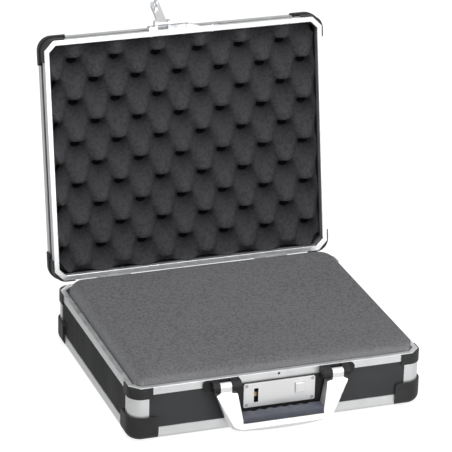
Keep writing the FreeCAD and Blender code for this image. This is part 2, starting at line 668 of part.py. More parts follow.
def hasp_arm():
    """Folding arm in its latched position, hanging over the lock's slot."""
    half = HASP_ARM_HALF
    tip_z = HASP_PIN_Z - HASP_LENGTH
    sheet_in = 4.7
    sheet_out = 6.1
    barrel = cyl_x(HASP_BARREL_R, HASP_X - half - 0.4, HASP_X + half + 0.4,
                   front(HASP_PIN_OUT), HASP_PIN_Z)
    sheet = front_box(HASP_X - half, HASP_X + half, sheet_in, sheet_out, tip_z, HASP_PIN_Z)
    tip = edges_at(sheet, lambda e: abs(e.tangentAt(e.FirstParameter).y) > 0.99
                   and e.BoundBox.ZMax < tip_z + 1e-3)
    sheet = sheet.makeFillet(3.0, tip)
    flanges = [front_box(x, x + 1.1, sheet_out, 8.6, tip_z + 4, HASP_PIN_Z)
               for x in (HASP_X - half, HASP_X + half - 1.1)]
    arm = sheet.fuse([barrel] + flanges).removeSplitter()
    opening = front_box(HASP_X - 1.7, HASP_X + 1.7, 0, 12, tip_z + 3.6, tip_z + 15.0)
    arm = arm.cut(opening)
    # Tongue bent back out of the opening, with an eye for the slider's tip.
    tongue = front_box(HASP_X - 0.6, HASP_X + 0.6, -3.8, sheet_in + 0.6, 33.6, 42.4)
    eye = front_box(HASP_X - 2, HASP_X + 2, SLIDER_BACK - 0.3, SLIDER_FRONT + 0.3,
                    SLIDER_Z0 - 0.35, SLIDER_Z1 + 0.35)
    bridge = front_box(HASP_X - 1.8, HASP_X + 1.8, sheet_in, sheet_in + 0.9, 41.2, 42.4)
    arm = arm.fuse([tongue.cut(eye), bridge]).removeSplitter()
    return arm.cut(cyl_x(HASP_PIN_R + RUNNING, HASP_X - 9, HASP_X + 9,
                         front(HASP_PIN_OUT), HASP_PIN_Z))


def folded_back(shape):
    """Latched arm turned up and back, as it lies with the lid open."""
    turned = shape.copy()
    turned.rotate(V(0, front(HASP_PIN_OUT), HASP_PIN_Z), V(1, 0, 0), -HASP_FOLD)
    return turned


# ---------------------------------------------------------------------------
# Rear hinges
# ---------------------------------------------------------------------------

def knuckle(x0, x1):
    return cyl_x(KNUCKLE_R, x0, x1, HINGE_Y, HINGE_Z)


def base_leaf(x):
    """Fixed leaf: joggled from the board on to the rim, with the two outer knuckles."""
    x0 = x - LEAF_W / 2
    x1 = x + LEAF_W / 2
    mid = KNUCKLE_MID / 2
    step = RIM_Z - RIM_FACE
    board_y = HALF_D - SKIN
    section = [(board_y, 38.0), (board_y, step - 0.2), (HALF_D, step - 0.2), (HALF_D, 55.2),
               (HALF_D + LEAF_THICK, 55.2), (HALF_D + LEAF_THICK, step - 1.2),
               (board_y + LEAF_THICK, step - 1.4), (board_y + LEAF_THICK, 38.0)]
    leaf = prism([(x0, y, z) for y, z in section], (LEAF_W, 0, 0))
    pieces = []
    for a, b in ((x0, x - mid - KNUCKLE_PLAY), (x + mid + KNUCKLE_PLAY, x1)):
        pieces.append(box(a, b, HALF_D, HALF_D + LEAF_THICK, 55.2, HINGE_Z))
        pieces.append(knuckle(a, b))
    leaf = leaf.fuse(pieces).removeSplitter()
    leaf = leaf.cut(cyl_x(HINGE_PIN_R, x0 - 1, x1 + 1, HINGE_Y, HINGE_Z))
    for dx in RIVET_OFFSETS:
        leaf = leaf.cut(cyl_y(1.5, x + dx, board_y - 1, HALF_D + 2, BASE_RIVET_Z))
    return leaf


def lid_leaf(x):
    """Moving leaf in its open position, with the middle knuckle and the heel that stops the lid."""
    x0 = x - LEAF_W / 2
    x1 = x + LEAF_W / 2
    mid = KNUCKLE_MID / 2
    plate = box(x0, x1, HALF_D, HALF_D + LEAF_THICK, RIM_Z + 1.5, RIM_Z + LID_GAP + 16.0)
    link = box(x - mid, x + mid, HALF_D, HALF_D + LEAF_THICK, HINGE_Z, RIM_Z + 1.5)
    for dx in RIVET_OFFSETS:
        plate = plate.cut(cyl_y(1.5, x + dx, HALF_D - 1, HALF_D + 2,
                                RIM_Z + LID_GAP + LID_RIVET_T))
    leaf = opened(plate.fuse([link, knuckle(x - mid, x + mid)]))
    heel_y = HALF_D + LEAF_THICK + 0.05
    heel = box(x - mid, x + mid, heel_y, heel_y + 2.2, 51.5, HINGE_Z - 1.0)
    leaf = leaf.fuse(heel).removeSplitter()
    return leaf.cut(cyl_x(HINGE_PIN_R + RUNNING, x - mid - 1, x + mid + 1, HINGE_Y, HINGE_Z))


def hinge_pin(x):
    return cyl_x(HINGE_PIN_R, x - LEAF_W / 2, x + LEAF_W / 2, HINGE_Y, HINGE_Z)


def leaf_rivet(x, leaf_y, z):
    """Rivet from the leaf's outer face through the board, with a flat tail inside."""
    head = cyl_y(2.8, x, leaf_y, leaf_y + 1.3, z)
    crown = edges_at(head, lambda e: e.BoundBox.YMin > leaf_y + 1.2)
    head = head.makeFillet(1.0, crown)
    inner = HALF_D - SKIN - BOARD
    shank = cyl_y(1.5, x, inner, leaf_y, z)
    tail = cyl_y(2.4, x, inner - 0.8, inner, z)
    return head.fuse([shank, tail])


def hinge_rivets(leaf_y, z):
    return Part.makeCompound([leaf_rivet(x + dx, leaf_y, z)
                              for x in HINGE_X for dx in RIVET_OFFSETS])


def rivet_holes(shape, z):
    for x in HINGE_X:
        for dx in RIVET_OFFSETS:
            shape = shape.cut(cyl_y(1.5, x + dx, HALF_D - 10, HALF_D + 2, z))
    return shape


# ---------------------------------------------------------------------------
# Assembly
# ---------------------------------------------------------------------------

def base_parts():
    parts = {n: to_base(s) for n, s in tray("base_", BASE_H, BASE_CAP_H).items()}
    parts["base_bottom_panel"] = to_base(outer_panel(BASE_H))
    wall = parts["base_front_panel"]
    rim = parts["base_rim_frame"]
    wall = wall.cut(front_box(-CUTOUT_HALF, CUTOUT_HALF, -SKIN - BOARD - 1, 0,
                              CUTOUT_Z0, CUTOUT_Z1))
    hole = rim_screw_hole()
    wall = wall.cut(hole)
    rim = rim.cut(hole)
    screws = []
    for x, z in BRACKET_SCREWS:
        for sx in (-x, x):
            shank = cyl_y(1.2, sx, front(3.0), front(-LIP - 1), z)
            wall = wall.cut(shank)
            rim = rim.cut(shank)
            screws.append(bracket_screw(sx, z))
    parts["base_front_panel"] = wall
    parts["base_rim_frame"] = rim
    parts["base_rear_panel"] = rivet_holes(parts["base_rear_panel"], BASE_RIVET_Z)
    parts["rim_screw"] = rim_screw()
    parts["bracket_screws"] = Part.makeCompound(screws)
    parts["foam_base_pad"] = foam_pad()
    parts["foam_block"] = foam_block()
    parts["lock_housing"] = lock_housing()
    parts["lock_plate"] = lock_plate()
    parts["lock_screws"] = lock_screws()
    parts["lock_button"] = lock_button()
    parts["latch_slider"] = latch_slider()
    parts["button_spring"] = button_spring()
    right = bracket()
    parts["handle_bracket_right"] = right
    parts["handle_bracket_left"] = mirrored_x(right)
    pin = handle_pin()
    parts["handle_pins"] = Part.makeCompound([pin, mirrored_x(pin)])
    parts["handle_frame"] = handle_frame()
    parts["handle_grip"] = handle_grip()
    parts["hinge_left_base_leaf"] = base_leaf(HINGE_X[0])
    parts["hinge_right_base_leaf"] = base_leaf(HINGE_X[1])
    parts["hinge_pins"] = Part.makeCompound([hinge_pin(x) for x in HINGE_X])
    parts["hinge_base_rivets"] = hinge_rivets(HALF_D - SKIN + LEAF_THICK, BASE_RIVET_Z)
    return parts


def lid_parts():
    """Lid pieces on the closed case, then turned open."""
    closed = {n: to_closed_lid(s) for n, s in tray("lid_", LID_H, LID_CAP_H).items()}
    closed["lid_top_panel"] = to_closed_lid(outer_panel(LID_H))
    closed["foam_egg_crate"] = to_closed_lid(egg_crate_foam())
    rivet_z = RIM_Z + LID_GAP + LID_RIVET_T
    closed["lid_rear_panel"] = rivet_holes(closed["lid_rear_panel"], rivet_z)
    for x in HASP_RIVET_X:
        hole = cyl_y(1.1, x, front(1.0), front(-LIP - 1), LIP_Z + 4.5)
        closed["lid_front_panel"] = closed["lid_front_panel"].cut(hole)
        closed["lid_rim_frame"] = closed["lid_rim_frame"].cut(hole)
    closed["hinge_lid_rivets"] = hinge_rivets(HALF_D + LEAF_THICK, rivet_z)
    closed["hasp_plate"] = hasp_plate()
    closed["hasp_rivets"] = hasp_rivets()
    closed["hasp_pin"] = hasp_pin()
    closed["hasp_arm"] = folded_back(hasp_arm())
    parts = {n: opened(s) for n, s in closed.items()}
    parts["hinge_left_lid_leaf"] = lid_leaf(HINGE_X[0])
    parts["hinge_right_lid_leaf"] = lid_leaf(HINGE_X[1])
    return parts


def main():
    os.makedirs("parts", exist_ok=True)
    parts = base_parts()
    parts.update(lid_parts())
    for name in sorted(parts):
        shape = parts[name]
        solids = len(shape.Solids)
        print(name, solids, "valid" if shape.isValid() else "INVALID", round(shape.Volume, 1))
        shape.exportStep("parts/" + name + ".step")
    print(len(parts), "nodes")


main()
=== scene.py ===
import json
import math

import bpy
from mathutils import Matrix, Vector, noise


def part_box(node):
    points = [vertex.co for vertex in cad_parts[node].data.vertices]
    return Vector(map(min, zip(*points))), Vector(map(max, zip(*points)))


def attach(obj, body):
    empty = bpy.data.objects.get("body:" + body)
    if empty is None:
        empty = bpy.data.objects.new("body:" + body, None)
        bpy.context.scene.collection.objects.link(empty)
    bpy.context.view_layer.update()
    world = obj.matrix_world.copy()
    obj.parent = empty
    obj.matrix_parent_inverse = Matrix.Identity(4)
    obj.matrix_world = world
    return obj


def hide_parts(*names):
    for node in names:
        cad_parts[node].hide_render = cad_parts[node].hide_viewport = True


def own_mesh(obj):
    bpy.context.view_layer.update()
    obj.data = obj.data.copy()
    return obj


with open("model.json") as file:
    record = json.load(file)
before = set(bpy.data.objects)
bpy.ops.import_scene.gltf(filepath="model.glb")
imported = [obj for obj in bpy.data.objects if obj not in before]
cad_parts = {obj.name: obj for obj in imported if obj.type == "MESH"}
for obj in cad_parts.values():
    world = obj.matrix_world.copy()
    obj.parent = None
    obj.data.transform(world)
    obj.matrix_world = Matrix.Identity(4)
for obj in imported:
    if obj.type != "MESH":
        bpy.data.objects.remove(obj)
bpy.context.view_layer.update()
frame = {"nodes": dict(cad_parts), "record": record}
record = frame["record"]
nodes = frame["nodes"]

MM = 0.001
JOINTS = {j["name"]: j for j in record["behaviour"]["joints"]}
HINGE = Vector(JOINTS["lid_hinge"]["pos_m"])
LID_OPEN = math.radians(JOINTS["lid_hinge"]["range_deg"][1])

# The lid's foam is worked out on the shut lid and then turned open.
opened = (Matrix.Translation(HINGE) @ Matrix.Rotation(-LID_OPEN, 4, "X")
          @ Matrix.Translation(-HINGE))
shut = opened.inverted()
crate_shut = [shut @ v.co for v in nodes["foam_egg_crate"].data.vertices]
crate_lo = Vector(min(p[k] for p in crate_shut) for k in range(3))
crate_hi = Vector(max(p[k] for p in crate_shut) for k in range(3))
CRATE_SWELL = 0.8 * MM        # soft edges press a little past the CAD envelope
CRATE_HALF_X = (crate_hi.x - crate_lo.x) / 2 + CRATE_SWELL
CRATE_HALF_Y = (crate_hi.y - crate_lo.y) / 2 + CRATE_SWELL
CRATE_CORNER = 14.0 * MM
CRATE_PROUD = 2.6 * MM        # free height over the height it has in the shut case
CRATE_FACE = crate_lo.z - CRATE_PROUD
CRATE_DEPTH = 14.0 * MM       # peak to pit
HOLLOW_DEPTH = 3.0 * MM       # slit at the bottom of each pit
HOLLOW_X, HOLLOW_Y = 7.8 * MM, 4.0 * MM
PITCH_X = 24.83 * MM          # from a peak to the next pit, across
PITCH_Y = 23.98 * MM          # and from front to back
PEAK_X = -129.3 * MM
PEAK_Y = -127.6 * MM
PEAK_DROOP = 8.5 * MM         # peaks lean towards the hinge side
BLOCK_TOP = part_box("foam_block")[1].z
BLOCK_PROUD = 4.5 * MM        # free height of the base's foam over its pressed height
BLOCK_SWELL = 0.7 * MM        # it presses out a little past its cut size
BLOCK_LIFT = 0.3 * MM         # unevenness of its top
EDGE_WIDTH, EDGE_DROP = 3.0 * MM, 2.2 * MM
CRATE_EDGE = 8 * MM           # the lean of the peaks fades out this near the sheet's edge
CRATE_INSET = 0.7 * MM        # the peaks stop short of the face, so their unevenness stays inside it
SLIT_SHADE_START, SLIT_SHADE_END = 0.6 * MM, 2.2 * MM     # below the pits, where painted shade turns a slit black
CRATE_FINE, CRATE_BROAD = 0.25 * MM, 0.4 * MM  # unevenness of the sheet at two scales
DROOP_SPREAD, DROOP_GAIN = 1.6, 1.08          # how flat the lean is across a peak
RIB_PITCH, RIB_DEPTH = 11.6 * MM, 2.2 * MM    # finger scallops of the grip
RIBS_END, RIBS_FADE = 0.80, 0.06              # shares of the grip's half length
GRIP_TIP = 0.985                              # from here to its end the grip tapers
GRIP_CROWN = 0.9 * MM


# ---------------------------------------------------------------------------
# Materials
# ---------------------------------------------------------------------------

class Nodes:
    """Short names for building one node tree round a Principled shader."""

    def __init__(self, name, turned=False):
        self.mat = bpy.data.materials.new(name)
        self.mat.use_nodes = True
        self.tree = self.mat.node_tree
        self.shader = self.tree.nodes["Principled BSDF"]
        coord = self.add("ShaderNodeTexCoord")
        self.coords = coord.outputs["Object"]
        if turned:
            # The lid's pieces lie opened, so their grain is worked out as if the lid were shut.
            turn = self.add("ShaderNodeVectorRotate")
            turn.rotation_type = "X_AXIS"
            turn.inputs["Angle"].default_value = LID_OPEN
            self.link(self.coords, turn.inputs["Vector"])
            self.coords = turn.outputs["Vector"]

    def add(self, kind):
        return self.tree.nodes.new(kind)

    def link(self, a, b):
        self.tree.links.new(a, b)

    def scaled(self, scale):
        mapping = self.add("ShaderNodeMapping")
        mapping.inputs["Scale"].default_value = scale
        self.link(self.coords, mapping.inputs["Vector"])
        return mapping.outputs["Vector"]

    def noise(self, scale, detail=3.0, rough=0.55, stretch=(1, 1, 1)):
        tex = self.add("ShaderNodeTexNoise")
        tex.inputs["Scale"].default_value = scale
        tex.inputs["Detail"].default_value = detail
        tex.inputs["Roughness"].default_value = rough
        self.link(self.scaled(stretch), tex.inputs["Vector"])
        return tex.outputs["Fac"]

    def cells(self, scale):
        tex = self.add("ShaderNodeTexVoronoi")
        tex.inputs["Scale"].default_value = scale
        self.link(self.coords, tex.inputs["Vector"])
        return tex.outputs["Distance"]

    def height(self):
        """Distance up from the object's own origin, as the case lies shut."""
        split = self.add("ShaderNodeSeparateXYZ")
        self.link(self.coords, split.inputs[0])
        return split.outputs["Z"]

    def ramp(self, fac, low, high, at=(0.3, 0.7)):
        ramp = self.add("ShaderNodeValToRGB")
        ramp.color_ramp.elements[0].position = at[0]
        ramp.color_ramp.elements[1].position = at[1]
        ramp.color_ramp.elements[0].color = (*low, 1)
        ramp.color_ramp.elements[1].color = (*high, 1)
        self.link(fac, ramp.inputs["Fac"])
        return ramp.outputs["Color"]

    def span(self, value, low, high, at=(0.3, 0.7)):
        mapped = self.add("ShaderNodeMapRange")
        mapped.inputs["From Min"].default_value = at[0]
        mapped.inputs["From Max"].default_value = at[1]
        mapped.inputs["To Min"].default_value = low
        mapped.inputs["To Max"].default_value = high
        self.link(value, mapped.inputs["Value"])
        return mapped.outputs["Result"]

    def mix(self, fac, a, b, blend="MIX"):
        node = self.add("ShaderNodeMix")
        node.data_type = "RGBA"
        node.blend_type = blend
        for socket, value in ((node.inputs[0], fac), (node.inputs[6], a), (node.inputs[7], b)):
            if isinstance(value, (int, float)):
                socket.default_value = value
            elif isinstance(value, tuple):
                socket.default_value = (*value, 1)
            else:
                self.link(value, socket)
        return node.outputs[2]

    def bump(self, height, distance, strength=1.0, under=None):
        node = self.add("ShaderNodeBump")
        node.inputs["Distance"].default_value = distance
        node.inputs["Strength"].default_value = strength
        self.link(height, node.inputs["Height"])
        if under is not None:
            self.link(under, node.inputs["Normal"])
        return node.outputs["Normal"]

    def finish(self, color=None, rough=None, normal=None, **plain):
        for socket, value in (("Base Color", color), ("Roughness", rough), ("Normal", normal)):
            if value is not None:
                self.link(value, self.shader.inputs[socket])
        for name, value in plain.items():
            self.shader.inputs[name.replace("_", " ")].default_value = value
        return self.mat


def grey(v, tint=(1.0, 1.0, 1.0)):
    return tuple(v * t for t in tint)


def aluminium(name, along, turned):
    """Satin anodised extrusion with the faint lines it was drawn with, along one axis."""
    n = Nodes(name, turned)
    stretch = [1.0, 1.0, 1.0]
    if along is not None:
        stretch[along] = 0.03
    lines = n.noise(1500.0, 2.0, 0.6, tuple(stretch))
    cloud = n.noise(26.0, 3.0, 0.5)
    smudge = n.noise(90.0, 4.0, 0.65)
    cool = (0.985, 0.995, 1.0)
    tone = n.ramp(lines, grey(0.84, cool), grey(0.93, cool), (0.25, 0.75))
    tone = n.mix(n.span(cloud, 0.0, 0.3), tone, grey(0.76, cool))
    rough = n.span(smudge, 0.30, 0.46)
    normal = n.bump(lines, 0.00003, 0.6)
    return n.finish(tone, rough, normal, Metallic=0.9)


def board(turned):
    """Dark grey laminate with a fine pebbled grain and light handling scuffs."""
    n = Nodes("board_laminate_lid" if turned else "board_laminate", turned)
    pebble = n.cells(1150.0)
    cloud = n.noise(14.0, 3.0, 0.5)
    fleck = n.noise(700.0, 2.0, 0.6)
    scuff = n.noise(60.0, 5.0, 0.7, (1.0, 1.0, 0.25))
    tone = n.ramp(cloud, (0.040, 0.041, 0.043), (0.054, 0.055, 0.057))
    tone = n.mix(n.span(fleck, 0.0, 0.35), tone, (0.052, 0.053, 0.056))
    tone = n.mix(n.span(scuff, 0.0, 0.25, (0.62, 0.8)), tone, (0.08, 0.08, 0.083))
    rough = n.span(scuff, 0.50, 0.66)
    normal = n.bump(pebble, 0.00012, 0.45)
    return n.finish(tone, rough, normal, Specular_IOR_Level=0.12)


def moulded(name, low, high, texture=900.0):
    """Black moulded plastic: spark-eroded texture, cloudy gloss, pale rub marks."""
    n = Nodes(name)
    grain = n.noise(texture, 3.0, 0.6)
    cloud = n.noise(45.0, 3.0, 0.5)
    rub = n.noise(130.0, 5.0, 0.7)
    tone = n.ramp(cloud, low, high)
    tone = n.mix(n.span(rub, 0.0, 0.5, (0.62, 0.82)), tone, tuple(3.2 * c for c in high))
    rough = n.span(cloud, 0.36, 0.50)
    normal = n.bump(grain, 0.00012, 0.5)
    return n.finish(tone, rough, normal, Specular_IOR_Level=0.25)


def foam(name, low, high, pit, cell, depth, fades, turned=False):
    """Open-cell foam: pores of two sizes, specks of lit cell walls, soft large-scale mottling.

    Each of fades is (from height, to height, share, colour): the tone drifts towards the colour. This is
    painted shade where the colour is darker and a painted highlight where it is lighter."""
    n = Nodes(name, turned)
    pores = n.cells(cell)
    large = n.noise(cell * 0.42, 3.0, 0.7)
    fine = n.noise(cell * 1.7, 2.0, 0.7)
    mottle = n.noise(9.0, 3.0, 0.5)
    tone = n.ramp(fine, low, high, (0.30, 0.70))
    tone = n.mix(n.span(large, 0.0, 0.6, (0.45, 0.62)), tone, pit)
    tone = n.mix(n.span(mottle, 0.0, 0.22), tone, high)
    for start, end, share, colour in fades:
        tone = n.mix(n.span(n.height(), 0.0, share, (start, end)), tone, colour)
    coarse = n.bump(large, depth, 0.6)
    normal = n.bump(pores, depth * 0.6, 0.7, coarse)
    return n.finish(tone, None, normal, Roughness=0.95, Specular_IOR_Level=0.1)


def painted_metal(name, tone_value, rough_span, metallic):
    """Silver lacquer over a casting: orange peel, metallic flake, faint streaks."""
    n = Nodes(name)
    peel = n.noise(420.0, 2.0, 0.5)
    flake = n.noise(2600.0, 1.0, 0.5)
    cloud = n.noise(38.0, 4.0, 0.6)
    tone = n.ramp(flake, grey(tone_value * 0.94), grey(tone_value * 1.04), (0.3, 0.7))
    tone = n.mix(n.span(cloud, 0.0, 0.2), tone, grey(tone_value * 0.86))
    rough = n.span(cloud, *rough_span)
    normal = n.bump(peel, 0.00003, 0.5)
    return n.finish(tone, rough, normal, Metallic=metallic, Coat_Weight=0.15, Coat_Roughness=0.2)


def plated(name, low, high, rough_span, scratch):
    """Bare or plated metal with fine scratches in two directions."""
    n = Nodes(name)
    one = n.noise(900.0, 2.0, 0.6, (1.0, 0.06, 0.06))
    two = n.noise(1100.0, 2.0, 0.6, (0.05, 0.6, 1.0))
    cloud = n.noise(70.0, 4.0, 0.6)
    tone = n.ramp(cloud, low, high)
    rough = n.span(cloud, *rough_span)
    normal = n.bump(two, 0.00002, scratch, n.bump(one, 0.00002, scratch))
    return n.finish(tone, rough, normal, Metallic=1.0)


def soft_touch():
    """Dark blue-grey rubbery coating of the grip."""
    n = Nodes("grip_soft_touch")
    pebble = n.cells(1500.0)
    cloud = n.noise(60.0, 3.0, 0.5)
    shine = n.noise(150.0, 4.0, 0.6)
    tone = n.ramp(cloud, (0.050, 0.054, 0.073), (0.074, 0.079, 0.104))
    rough = n.span(shine, 0.46, 0.66)
    normal = n.bump(pebble, 0.0001, 0.4)
    return n.finish(tone, rough, normal, Specular_IOR_Level=0.4)


ALU = {(axis, turned): aluminium("aluminium_%s%s" % (label, "_lid" if turned else ""), axis, turned)
       for axis, label in ((0, "along_x"), (1, "along_y"), (2, "upright"), (None, "bent"))
       for turned in (False, True)}
BOARD = {turned: board(turned) for turned in (False, True)}
SLOTS = {
    "corner_plastic": moulded("corner_moulding", (0.022, 0.023, 0.022), (0.034, 0.036, 0.034)),
    "fitting_plastic": moulded("fitting_moulding", (0.012, 0.012, 0.013), (0.022, 0.022, 0.024), 1300.0),
    "lock_silver": painted_metal("lock_silver_lacquer", 0.92, (0.30, 0.42), 0.75),
    "handle_silver": painted_metal("handle_silver_lacquer", 0.94, (0.24, 0.36), 0.75),
    "grip_soft": soft_touch(),
    "hasp_plated": plated("hasp_plating", (0.80, 0.81, 0.83), (0.90, 0.91, 0.93), (0.12, 0.24), 0.25),
    "hinge_steel": plated("zinc_plating", (0.48, 0.49, 0.50), (0.62, 0.63, 0.65), (0.26, 0.42), 0.6),
    "dark_screw": plated("blackened_steel", (0.06, 0.06, 0.065), (0.11, 0.11, 0.115), (0.32, 0.5), 0.6),
    "slider_brass": plated("satin_brass", (0.66, 0.52, 0.24), (0.80, 0.66, 0.34), (0.28, 0.4), 0.5),
}
# The lid's coordinates turn about the object's origin and not about the hinge: this is the difference.
TURNED_FACE = CRATE_FACE - (HINGE - Matrix.Rotation(LID_OPEN, 3, "X") @ HINGE).z
# Painted highlight: the base foam turns lighter below its top, on the block's sloping edges, rounded
# shoulders and sides.
BASE_FOAM = foam("base_foam_cells", (0.090, 0.090, 0.095), (0.172, 0.172, 0.180),
                 (0.048, 0.048, 0.052), 760.0, 0.0007,
                 [(BLOCK_TOP + 2.5 * MM, BLOCK_TOP - 3.0 * MM, 0.55, (0.25, 0.252, 0.262))])
# Painted shade: the lid foam darkens with depth into its hollows and is painted nearly black in the slit
# under each peak.
LID_FOAM = foam("lid_foam_cells", (0.038, 0.038, 0.042), (0.066, 0.066, 0.072),
                (0.020, 0.020, 0.022), 620.0, 0.0006,
                [(TURNED_FACE + 0.5 * MM, TURNED_FACE + 0.80 * CRATE_DEPTH, 0.50, (0.015, 0.015, 0.016)),
                 (TURNED_FACE + CRATE_DEPTH + SLIT_SHADE_START, TURNED_FACE + CRATE_DEPTH + SLIT_SHADE_END, 0.95,
                  (0.001, 0.001, 0.001))], turned=True)


def aluminium_for(name):
    turned = name.startswith("lid_")
    if name.endswith(("edge_front", "edge_rear")):
        return ALU[0, turned]
    if name.endswith(("edge_left", "edge_right")):
        return ALU[1, turned]
    if name.endswith("corner_posts"):
        return ALU[2, turned]
    return ALU[None, turned]


for part in record["subparts"]:
    name, slot_name = part["node"], part["material_slot"]
    if slot_name == "aluminium":
        material = aluminium_for(name)
    elif slot_name == "board":
        material = BOARD[name.startswith("lid_")]
    elif slot_name == "base_foam":
        material = BASE_FOAM
    elif slot_name == "lid_foam":
        material = LID_FOAM
    else:
        material = SLOTS[slot_name]
    mesh = nodes[name].data
    mesh.materials.clear()
    mesh.materials.append(material)


# ---------------------------------------------------------------------------
# Helpers for pieces
# ---------------------------------------------------------------------------

def piece(name, points, faces, material, body):
    """Smooth-shaded mesh object that rides on a body of the assembly."""
    mesh = bpy.data.meshes.new(name)
    mesh.from_pydata([tuple(p) for p in points], [], faces)
    mesh.validate()
    mesh.update()
    mesh.polygons.foreach_set("use_smooth", [True] * len(mesh.polygons))
    obj = bpy.data.objects.new(name, mesh)
    bpy.context.scene.collection.objects.link(obj)
    mesh.materials.append(material)
    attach(obj, body)
    return obj


def wobble(x, y, z, scale, seed=0.0):
    return noise.noise(Vector((x * scale + seed, y * scale - seed, z * scale + 0.5 * seed)))


def rounded_reach(x, y, half_x, half_y, radius):
    """How far (x, y) lies inside a rectangle with round corners; negative outside it."""
    dx = abs(x) - (half_x - radius)
    dy = abs(y) - (half_y - radius)
    if dx > 0 and dy > 0:
        return radius - math.hypot(dx, dy)
    return radius - max(dx, dy)


def closed_slab(nx, ny, outline_point, top_at, bottom_at):
    """Closed solid over an nx by ny grid of plan points, with its own top and bottom height."""
    points = []
    for level in (top_at, bottom_at):
        for j in range(ny + 1):
            for i in range(nx + 1):
                x, y = outline_point(i / nx, j / ny)
                points.append(level(x, y))
    row = nx + 1
    size = row * (ny + 1)
    faces = []
    for j in range(ny):
        for i in range(nx):
            a = j * row + i
            faces.append((a, a + 1, a + row + 1, a + row))
            b = a + size
            faces.append((b, b + row, b + row + 1, b + 1))
    rim = ([i for i in range(nx)] + [j * row + nx for j in range(ny)]
           + [ny * row + i for i in range(nx, 0, -1)] + [j * row for j in range(ny, 0, -1)])
    for k, a in enumerate(rim):
        b = rim[(k + 1) % len(rim)]
        faces.append((a, a + size, b + size, b))
    return points, faces


# ---------------------------------------------------------------------------
# Egg-crate foam in the lid, worked out on the closed lid and then turned open
# ---------------------------------------------------------------------------

def crate_waves(x, y):
    """Cosine across and cosine along; their product is 1 at a peak and -1 at a pit."""
    return (math.cos(math.pi * (x - PEAK_X) / PITCH_X),
            math.cos(math.pi * (y - PEAK_Y) / PITCH_Y))


def crate_outline(u, v):
    """Grid point in plan, with its columns shortened where the corners are cut off."""
    y = (2 * v - 1) * CRATE_HALF_Y
    over = abs(y) - (CRATE_HALF_Y - CRATE_CORNER)
    half = CRATE_HALF_X - max(0.0, over)
    return (2 * u - 1) * half, y


def crate_hollow(x, y):
    """1 in the middle of the slit that opens under each leaning peak, 0 outside it."""
    column = round((x - PEAK_X) / PITCH_X)
    along = (y - PEAK_Y) / PITCH_Y
    odd = (column + 1) % 2
    pit = 2 * round((along - odd) / 2) + odd
    across = (x - PEAK_X - column * PITCH_X) / HOLLOW_X
    down = (along - pit) * PITCH_Y / HOLLOW_Y
    return min(1.0, 2.0 * max(0.0, 1.0 - across * across - down * down))


def crate_point(x, y):
    """Underside of the sheet as the case is shut: the bumpy face, its peaks leaning over."""
    across, along = crate_waves(x, y)
    wave = across * along
    edge = min(CRATE_HALF_X - abs(x), CRATE_HALF_Y - abs(y))
    lean = max(0.0, min(1.0, edge / CRATE_EDGE))
    depth = CRATE_DEPTH * (0.5 - 0.5 * wave) + HOLLOW_DEPTH * crate_hollow(x, y)
    soft = CRATE_FINE * wobble(x, y, 0.0, 190.0) + CRATE_BROAD * wobble(x, y, 0.0, 45.0, 7.0)
    droop = PEAK_DROOP * along * math.tanh(DROOP_SPREAD * across) * DROOP_GAIN * lean
    return opened @ Vector((x, y + droop, CRATE_FACE + CRATE_INSET + depth + soft))


def crate_back(x, y):
    return opened @ Vector((x, y, crate_hi.z))


points, faces = closed_slab(236, 212, crate_outline, crate_point, crate_back)
crate_piece = piece("egg_crate_foam_sheet", points, [tuple(reversed(f)) for f in faces],
                    LID_FOAM, "lid")
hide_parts("foam_egg_crate")
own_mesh(crate_piece)


# ---------------------------------------------------------------------------
# Foam block and pad in the base
# ---------------------------------------------------------------------------

def soft_block(name, node, proud, slopes, corners, cells_x, cells_y, seed):
    """Cut foam slab: its top falls off softly to the edges, its sides are straight.

    slopes holds (width, drop) for the left, right, front and rear edges."""
    lo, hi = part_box(node)
    half_x = (hi.x - lo.x) / 2 + BLOCK_SWELL
    half_y = (hi.y - lo.y) / 2 + BLOCK_SWELL

    def plan(u, v):
        # Points gather towards the edges, where the top curves down.
        x = math.sin((2 * u - 1) * math.pi / 2) * half_x
        y = math.sin((2 * v - 1) * math.pi / 2) * half_y
        corner = corners[1] if y > 0 else corners[0]
        in_corner = abs(x) > half_x - corner and abs(y) > half_y - corner
        if in_corner and rounded_reach(x, y, half_x, half_y, corner) < 0:
            cx = math.copysign(half_x - corner, x)
            cy = math.copysign(half_y - corner, y)
            pull = corner / math.hypot(x - cx, y - cy)
            x = cx + (x - cx) * pull
            y = cy + (y - cy) * pull
        return x, y

    def top(x, y):
        corner = corners[1] if y > 0 else corners[0]
        inside = max(0.0, rounded_reach(x, y, half_x, half_y, corner))
        round_over = max(0.0, 1.0 - inside / EDGE_WIDTH)
        fall = EDGE_DROP * (1.0 - math.sqrt(max(0.0, 1.0 - round_over ** 2)))
        slope = 0.0
        for reach, (width, drop) in zip((half_x + x, half_x - x, half_y + y, half_y - y), slopes):
            slope = max(slope, drop * max(0.0, 1.0 - reach / width) ** 2)
        uneven = wobble(x, y, 0.0, 16.0, seed) + 0.5 * wobble(x, y, 0.0, 60.0, seed)
        return Vector((x, y, hi.z + proud - BLOCK_LIFT - fall - slope
                       + BLOCK_LIFT * uneven * (1.0 - round_over)))

    def bottom(x, y):
        return Vector((x, y, lo.z))

    pts, fcs = closed_slab(cells_x, cells_y, plan, top, bottom)
    block = piece(name, pts, fcs, BASE_FOAM, "base")
    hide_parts(node)
    if proud:
        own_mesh(block)


